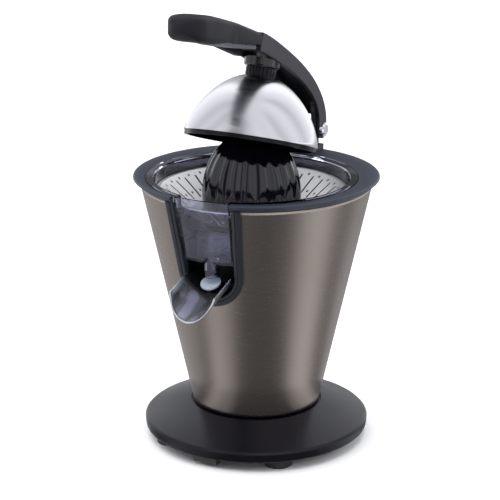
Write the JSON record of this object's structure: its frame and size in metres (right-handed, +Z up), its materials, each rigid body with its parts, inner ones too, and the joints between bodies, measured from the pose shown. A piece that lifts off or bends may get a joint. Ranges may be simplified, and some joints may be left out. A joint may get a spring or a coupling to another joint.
{
  "type": "lever-press citrus juicer",
  "caption": "Electric lever-press citrus juicer: a ribbed reamer turns under a hinged steel press dome, over a strainer, a clear juice bowl and a tilting metal spout.",
  "frame": {"origin": "middle of the footprint box on the floor, under the feet; the axis of the body cone is 11.75 mm behind it", "axes": "+Z up; -Y towards the spout and the handle's tip; X runs across the body, which is symmetric about X = 0 from outside"},
  "size_m": [0.2, 0.2234, 0.3705],
  "materials": {
    "body_steel": "brushed, warm tint",
    "dome_steel": "spun satin",
    "spout_steel": "satin",
    "strainer_steel": "satin",
    "base_black": "satin",
    "cover_black": "matt",
    "foot_rubber": "matt",
    "ring_slate": "matt",
    "bezel_black": "satin",
    "well_black": "matt",
    "frame_black": "matt",
    "bowl_smoke": "clear smoked",
    "reamer_black": "gloss",
    "carrier_black": "satin",
    "disc_grey": "matt",
    "post_black": "satin",
    "arm_grey": "satin",
    "liner_black": "matt",
    "ear_grey": "satin",
    "grip_soft": "matt",
    "strip_grey": "satin",
    "pin_chrome": "polished",
    "dome_lining": "satin",
    "nut_black": "satin",
    "collar_black": "gloss",
    "stem_steel": "machined",
    "screw_steel": "plated",
    "bush_brass": "sintered",
    "seal_rubber": "matt",
    "gear_plastic": "natural",
    "pinion_steel": "cut",
    "gearbox_grey": "matt",
    "switch_black": "matt",
    "bracket_steel": "zinc plated",
    "motor_steel": "zinc plated",
    "motor_plastic": "matt",
    "motor_core": "laminated"
  },
  "bodies": {
    "stand": {"base_plate": "base_black", "base_cover": "cover_black", "rubber_feet": "foot_rubber", "base_screws": "screw_steel", "front_lug": "cover_black", "cord_gland": "cover_black", "terminal_block": "switch_black", "body_shell": "body_steel", "top_ring": "ring_slate", "inner_frame": "frame_black", "bowl_shelf": "frame_black", "spout_well": "well_black", "spout_bezel": "bezel_black", "juice_bowl": "bowl_smoke", "strainer": "strainer_steel", "strainer_hub": "strainer_steel", "spout_pivot_pins": "stem_steel", "hinge_post": "post_black", "hinge_bush": "frame_black", "idler_axle": "stem_steel", "lower_bush": "bush_brass", "upper_bush": "bush_brass", "shaft_seal": "seal_rubber", "gearbox_housing": "gearbox_grey", "gearbox_cover": "gearbox_grey", "gearbox_screws": "screw_steel", "return_spring": "screw_steel", "microswitch": "switch_black", "switch_bracket": "bracket_steel", "motor_can": "motor_steel", "motor_end_cap": "motor_plastic", "motor_stator": "motor_core", "motor_mount": "bracket_steel"},
    "plunger": {"switch_plunger": "gearbox_grey"},
    "reamer": {"reamer": "reamer_black", "drive_spindle": "stem_steel", "output_gear": "gear_plastic"},
    "idler": {"idler_wheel": "gear_plastic", "idler_pinion": "pinion_steel"},
    "rotor": {"motor_rotor": "motor_core", "motor_shaft": "stem_steel", "motor_pinion": "pinion_steel", "cooling_fan": "motor_plastic"},
    "lever": {"lever_arm": "arm_grey", "arm_liner": "liner_black", "handle_grip": "grip_soft", "handle_lower_cover": "strip_grey", "arm_fairing": "collar_black", "collar": "collar_black", "dome_stem": "stem_steel", "hinge_ears": "ear_grey", "hinge_washers": "frame_black", "hinge_pin": "pin_chrome", "pin_caps": "pin_chrome"},
    "dome": {"press_dome": "dome_steel", "dome_liner": "dome_lining", "dome_lip": "dome_lining", "dome_nut": "nut_black"},
    "spout": {"spout": "spout_steel", "spout_carrier": "carrier_black", "drip_stop_disc": "disc_grey"}
  },
  "joints": [
    {"name": "lever_hinge", "type": "hinge", "parent": "stand", "child": "lever", "pos_m": [0, 0.10175, 0.242], "axis": [-1, 0, 0], "range_deg": [-19, 45]},
    {"name": "dome_turn", "type": "hinge", "parent": "lever", "child": "dome", "pos_m": [0, 0.00145, 0.25327], "axis": [0, 0.3256, 0.9455], "range_deg": [0, 30]},
    {"name": "spout_tilt", "type": "hinge", "parent": "stand", "child": "spout", "pos_m": [0, -0.05725, 0.1525], "axis": [-1, 0, 0], "range_deg": [0, 25]},
    {"name": "reamer_press", "type": "slide", "parent": "stand", "child": "plunger", "axis": [0, 0, -1], "range_m": [0, 0.002], "stiffness_N_per_m": 2000, "springref_m": -0.002, "deforming": ["return_spring"]},
    {"name": "reamer_spin", "type": "hinge", "parent": "plunger", "child": "reamer", "pos_m": [0, 0.00325, 0.203], "axis": [0, 0, 1], "continuous": true},
    {"name": "idler_spin", "type": "hinge", "parent": "stand", "child": "idler", "pos_m": [0.02766, 0.02125, 0.133], "axis": [0, 0, 1], "continuous": true},
    {"name": "motor_spin", "type": "hinge", "parent": "stand", "child": "rotor", "pos_m": [0, 0.03925, 0.103], "axis": [0, 0, 1], "continuous": true}
  ],
  "couplings": [
    {"joint": "idler_spin", "follows": "reamer_spin", "ratio": -4.5},
    {"joint": "motor_spin", "follows": "reamer_spin", "ratio": 20.25}
  ]
}
